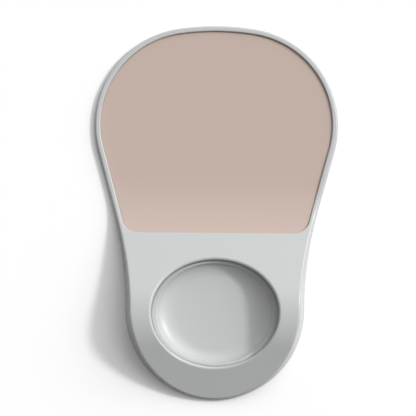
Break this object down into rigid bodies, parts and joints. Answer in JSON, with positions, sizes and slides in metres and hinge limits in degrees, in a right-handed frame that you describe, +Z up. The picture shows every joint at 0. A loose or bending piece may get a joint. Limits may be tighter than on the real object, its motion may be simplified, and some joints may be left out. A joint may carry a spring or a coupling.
{
  "type": "wet palette",
  "caption": "Pear-shaped desktop paint palette with a shallow basin holding palette paper over a wet sponge, and a raised end with an oval lift-out water dish.",
  "frame": {"origin": "on the table under the middle of the tray", "axes": "+Y towards the big end with the paper, +Z up, +X to the right seen from above with the big end away"},
  "size_m": [0.18, 0.276, 0.0289],
  "materials": {
    "shell_plastic": "light grey satin moulded plastic",
    "dish_plastic": "light grey smooth moulded plastic",
    "sponge": "thin open-cell sponge sheet",
    "palette_paper": "matte beige palette paper",
    "cover_plastic": "grey fine-grained moulded plastic",
    "screw_steel": "plain steel",
    "foot_rubber": "dark grey matte rubber"
  },
  "bodies": {
    "tray": {"tray_shell": "shell_plastic", "base_cover": "cover_plastic", "cover_screws": "screw_steel", "foot_crown": "foot_rubber", "foot_shoulder_right": "foot_rubber", "foot_shoulder_left": "foot_rubber", "foot_hump_right": "foot_rubber", "foot_hump_left": "foot_rubber", "foot_nose": "foot_rubber"},
    "dish": {"water_dish": "dish_plastic"},
    "sponge": {"hydration_sponge": "sponge"},
    "paper": {"palette_paper": "palette_paper"}
  },
  "joints": [
    {"name": "dish_lift", "type": "slide", "parent": "tray", "child": "dish", "axis": [0, 0, 1], "range_m": [0, 0.035]},
    {"name": "sponge_lift", "type": "slide", "parent": "tray", "child": "sponge", "axis": [0, 0, 1], "range_m": [0, 0.03]},
    {"name": "paper_lift", "type": "slide", "parent": "sponge", "child": "paper", "axis": [0, 0, 1], "range_m": [0, 0.03]}
  ]
}
